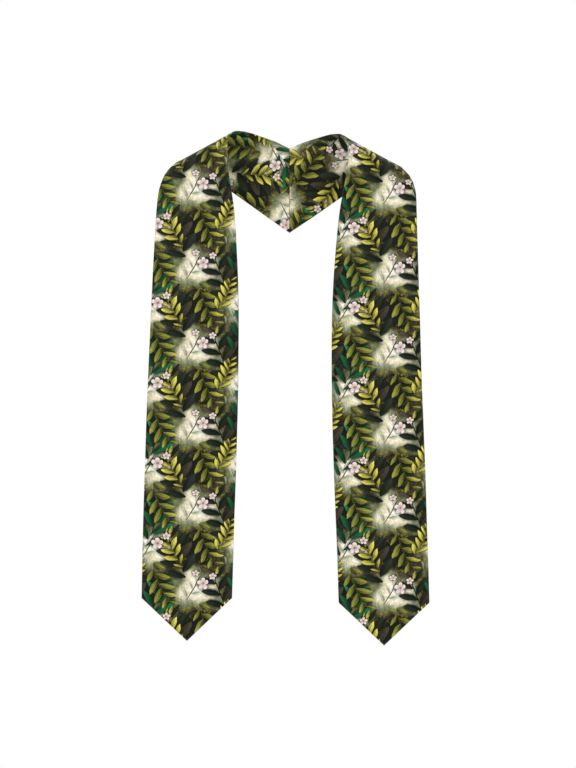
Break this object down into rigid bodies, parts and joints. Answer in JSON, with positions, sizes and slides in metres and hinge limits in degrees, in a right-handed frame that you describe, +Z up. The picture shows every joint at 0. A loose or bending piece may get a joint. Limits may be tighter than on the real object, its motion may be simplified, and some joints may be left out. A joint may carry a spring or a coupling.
{
  "type": "graduation stole",
  "caption": "Printed cloth stole that lies over both shoulders, mitred at the back of the neck, with two long front panels ending in points.",
  "frame": {"origin": "midway between the two sides of the neck, at the height of the highest point of the neck edge, where the stole sits on the shoulders", "axes": "+Z up along the wearer, -Y the way the wearer faces, +X to the viewer's right seen from the front"},
  "size_m": [0.4366, 0.0884, 0.7828],
  "materials": {
    "printed_face": "printed polyester satin in greens, browns and cream, soft sheen",
    "printed_lining": "printed polyester satin in greens, browns and cream, soft sheen"
  },
  "bodies": {
    "root": {"left_face": "printed_face", "left_lining": "printed_lining", "right_face": "printed_face", "right_lining": "printed_lining"}
  },
  "joints": []
}
